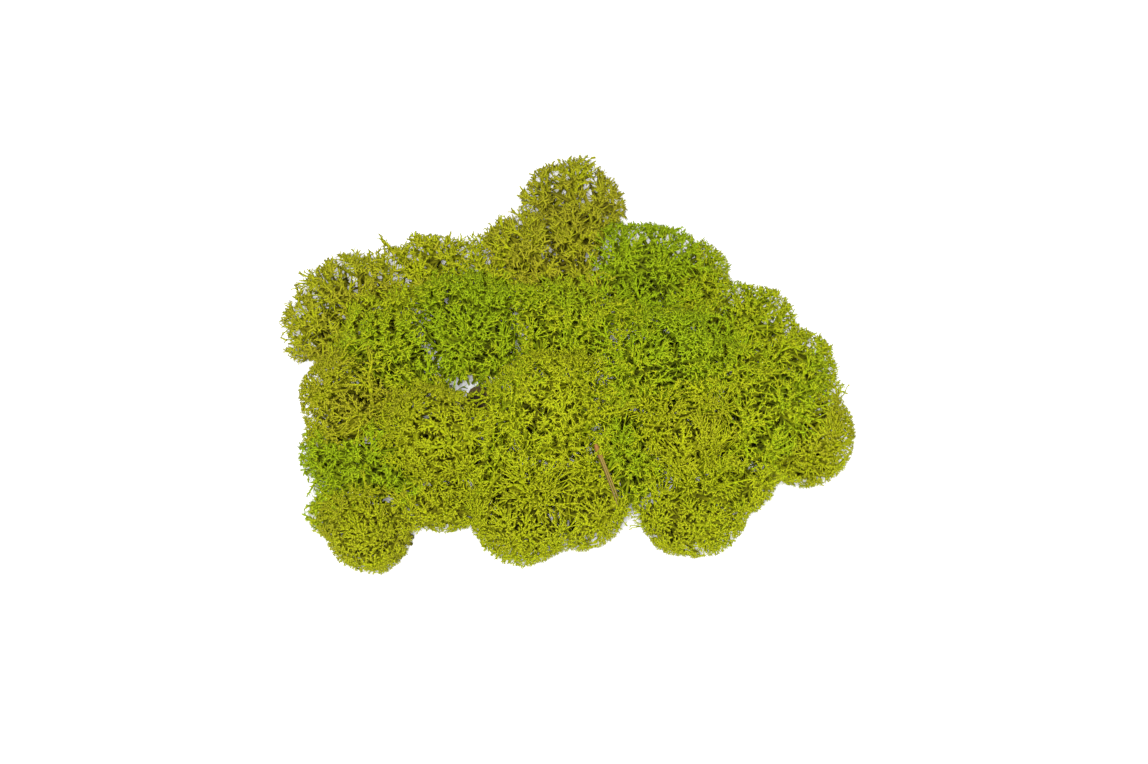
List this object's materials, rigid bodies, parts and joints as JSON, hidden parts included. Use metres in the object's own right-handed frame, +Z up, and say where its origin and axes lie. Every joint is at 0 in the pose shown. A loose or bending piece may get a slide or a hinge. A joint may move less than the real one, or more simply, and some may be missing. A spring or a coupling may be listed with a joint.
{
  "type": "reindeer lichen clump",
  "caption": "Clump of preserved lime-green reindeer lichen: rounded, finely branched heads grown against each other, cut flat at the ground, with dry pine needles and a bark flake caught in it.",
  "frame": {"origin": "middle of the clump's bounding box, on the flat cut that it rests on", "axes": "+X along the clump's long side, to the right seen from its front; +Y to the back, where the thin tuft stands out; +Z up"},
  "size_m": [0.1892, 0.1658, 0.045],
  "materials": {
    "green_lichen": "matte",
    "yellow_green_lichen": "matte",
    "olive_lichen": "matte",
    "dry_needle": "satin",
    "bark": "matte"
  },
  "bodies": {
    "root": {"front_left_head": "olive_lichen", "low_left_tuft": "green_lichen", "left_hollow_head": "green_lichen", "left_rim_head": "green_lichen", "left_crown_head": "olive_lichen", "centre_left_head": "olive_lichen", "front_small_head": "yellow_green_lichen", "front_centre_head": "yellow_green_lichen", "front_notch_head": "yellow_green_lichen", "centre_head": "yellow_green_lichen", "centre_gap_head": "green_lichen", "valley_head": "green_lichen", "right_crown_head": "olive_lichen", "front_right_head": "yellow_green_lichen", "front_right_knob": "yellow_green_lichen", "far_right_head": "olive_lichen", "right_head": "yellow_green_lichen", "right_shoulder_head": "yellow_green_lichen", "upper_right_head": "yellow_green_lichen", "right_back_head": "green_lichen", "top_right_head": "green_lichen", "top_right_edge_tuft": "green_lichen", "top_spire_tuft": "olive_lichen", "top_centre_tuft": "olive_lichen", "spire_foot_tuft": "olive_lichen", "top_notch_tuft": "olive_lichen", "upper_centre_head": "green_lichen", "upper_left_head": "green_lichen", "top_left_tuft": "olive_lichen", "left_top_tuft": "olive_lichen", "left_side_tuft": "olive_lichen", "left_back_head": "green_lichen", "pine_needles": "dry_needle", "bark_flake": "bark"}
  },
  "joints": []
}
